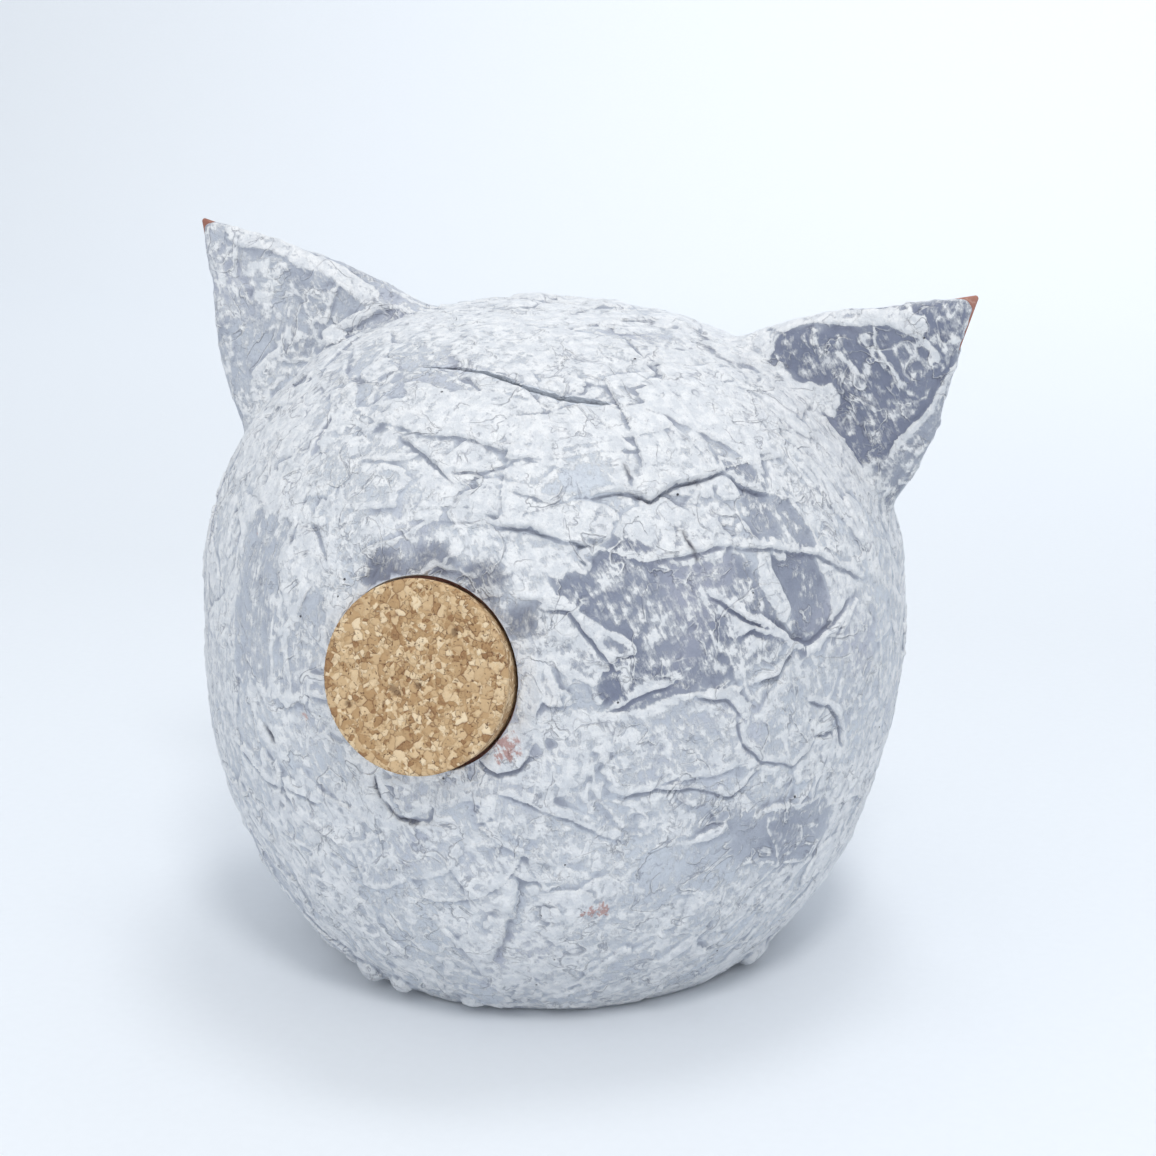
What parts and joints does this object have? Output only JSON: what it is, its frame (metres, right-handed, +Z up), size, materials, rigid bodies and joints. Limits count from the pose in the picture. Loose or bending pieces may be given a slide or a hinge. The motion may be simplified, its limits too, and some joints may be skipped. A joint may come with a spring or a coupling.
{
  "type": "money box",
  "caption": "Hand-made cat-head money box: hollow clay head with two pointed ears, a rough plaster coat, a coin slot and a pull-out cork bung.",
  "frame": {"origin": "on the table, under the middle of the head's widest ring", "axes": "+Z up; the bung side faces -Y; +X is to the right as seen from the bung side, and runs from ear to ear"},
  "size_m": [0.2216, 0.2093, 0.2062],
  "materials": {
    "clay": "matt fired clay",
    "plaster": "satin, grey-blue paint brushed over with white",
    "cork": "matt agglomerated cork"
  },
  "bodies": {
    "head": {"clay_shell": "clay", "left_ear": "clay", "right_ear": "clay", "body_coat": "plaster", "left_ear_coat": "plaster", "right_ear_coat": "plaster"},
    "bung": {"cork_bung": "cork"}
  },
  "joints": [
    {"name": "bung_pull", "type": "slide", "parent": "head", "child": "bung", "axis": [0.0149, -0.9744, 0.2245], "range_m": [0, 0.04]}
  ]
}
